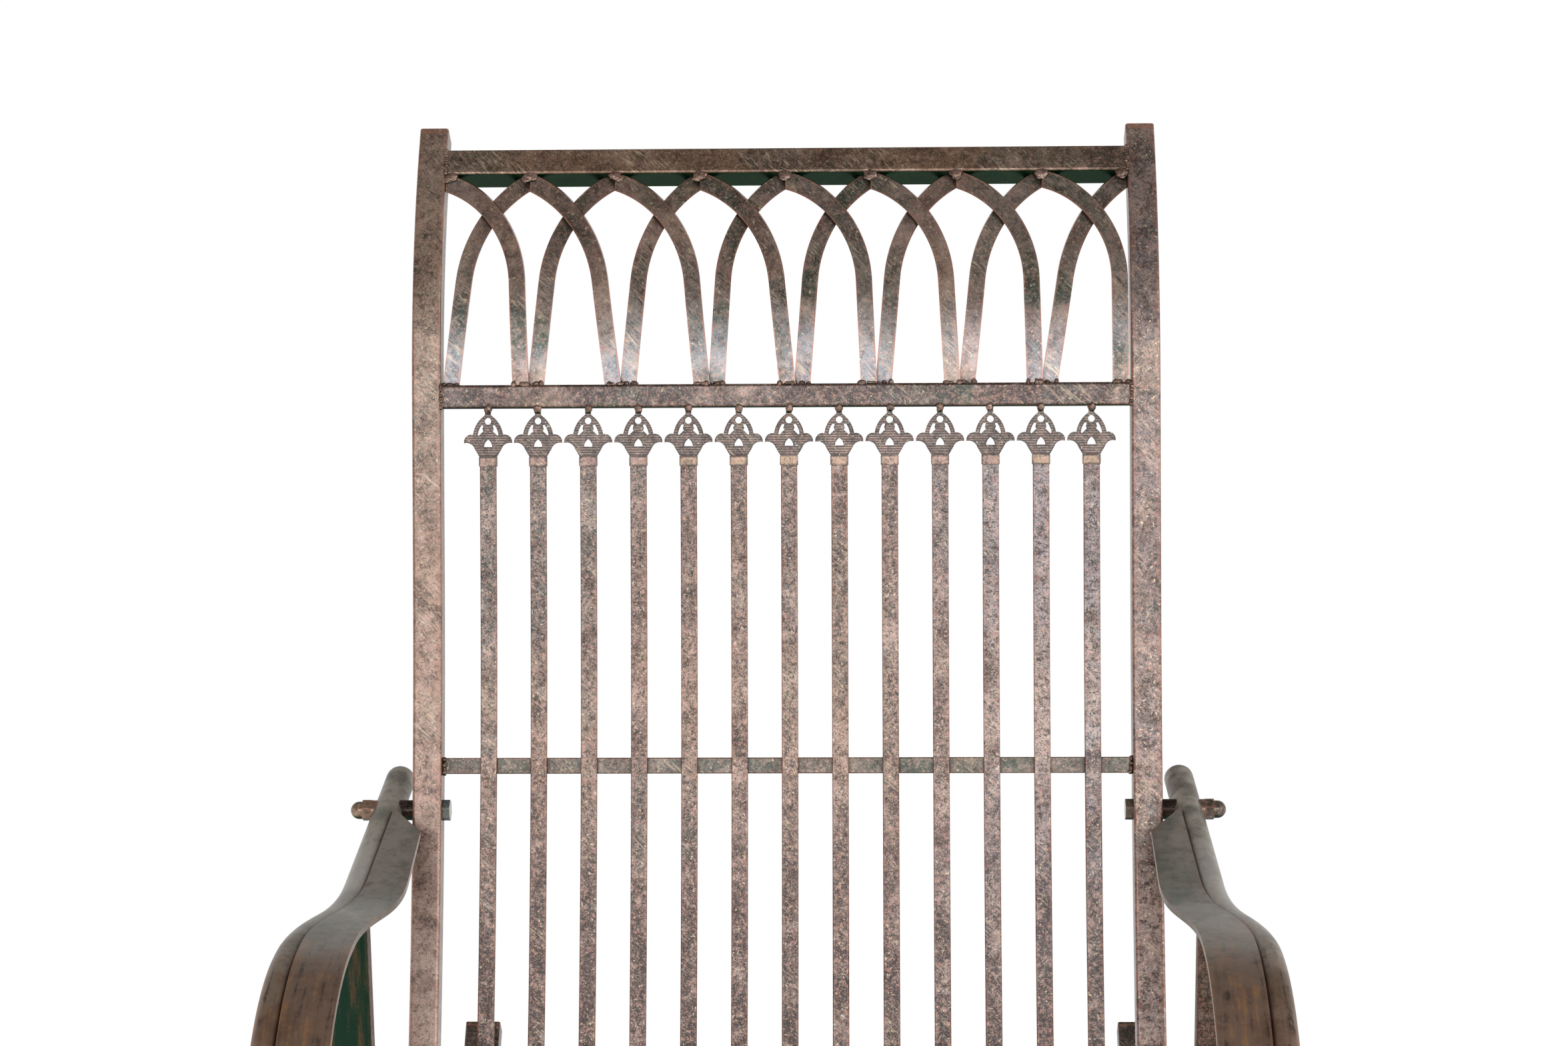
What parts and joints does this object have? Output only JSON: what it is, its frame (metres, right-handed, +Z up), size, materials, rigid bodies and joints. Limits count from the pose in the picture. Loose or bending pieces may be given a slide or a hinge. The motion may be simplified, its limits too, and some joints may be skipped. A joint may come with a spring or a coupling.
{
  "type": "metal rocking chair",
  "caption": "Rocking chair of bent tube and flat bar iron with a gothic arch back panel, slats with pierced finials, open arms and curved rockers.",
  "frame": {"origin": "on the floor, in the middle of the chair's length and width", "axes": "+Z up; the sitter faces -Y; +X across the chair, to the right of a viewer who faces the chair"},
  "size_m": [0.6616, 1.1192, 1.0901],
  "materials": {
    "bronzed_tube": "dark paint rubbed with copper, antique bronze",
    "bronzed_bar": "dark paint rubbed with copper and grey, antique bronze",
    "bronzed_arch": "dark paint lightly rubbed with copper, antique bronze",
    "bronzed_arm": "satin antique bronze paint, worn smooth",
    "bronzed_casting": "cast, painted antique bronze",
    "fastener": "painted antique bronze"
  },
  "bodies": {
    "root": {"side_rail_left": "bronzed_tube", "side_rail_right": "bronzed_tube", "rail_caps": "bronzed_tube", "top_rail": "bronzed_tube", "mid_rail": "bronzed_tube", "rear_post_left": "bronzed_tube", "rear_post_right": "bronzed_tube", "rocker_left": "bronzed_tube", "rocker_right": "bronzed_tube", "rocker_caps": "bronzed_tube", "stretcher_front": "bronzed_tube", "stretcher_rear": "bronzed_tube", "slat_01": "bronzed_bar", "slat_02": "bronzed_bar", "slat_03": "bronzed_bar", "slat_04": "bronzed_bar", "slat_05": "bronzed_bar", "slat_06": "bronzed_bar", "slat_07": "bronzed_bar", "slat_08": "bronzed_bar", "slat_09": "bronzed_bar", "slat_10": "bronzed_bar", "slat_11": "bronzed_bar", "slat_12": "bronzed_bar", "slat_13": "bronzed_bar", "back_cross_bar": "bronzed_bar", "seat_rear_bar": "bronzed_bar", "seat_front_bar": "bronzed_bar", "arch_bar_front_1": "bronzed_arch", "arch_bar_front_2": "bronzed_arch", "arch_bar_front_3": "bronzed_arch", "arch_bar_front_4": "bronzed_arch", "arch_bar_front_5": "bronzed_arch", "arch_bar_front_6": "bronzed_arch", "arch_bar_front_7": "bronzed_arch", "arch_bar_front_8": "bronzed_arch", "arch_bar_rear_1": "bronzed_arch", "arch_bar_rear_2": "bronzed_arch", "arch_bar_rear_3": "bronzed_arch", "arch_bar_rear_4": "bronzed_arch", "arch_bar_rear_5": "bronzed_arch", "arch_bar_rear_6": "bronzed_arch", "arch_bar_rear_7": "bronzed_arch", "arch_bar_rear_8": "bronzed_arch", "arm_tube_left": "bronzed_arm", "arm_tube_right": "bronzed_arm", "arm_strip_left": "bronzed_arm", "arm_strip_right": "bronzed_arm", "finials": "bronzed_casting", "slat_collars": "bronzed_casting", "hex_bolts": "fastener", "acorn_nuts": "fastener", "bolt_spacers": "fastener", "bolt_washers": "fastener"}
  },
  "joints": []
}
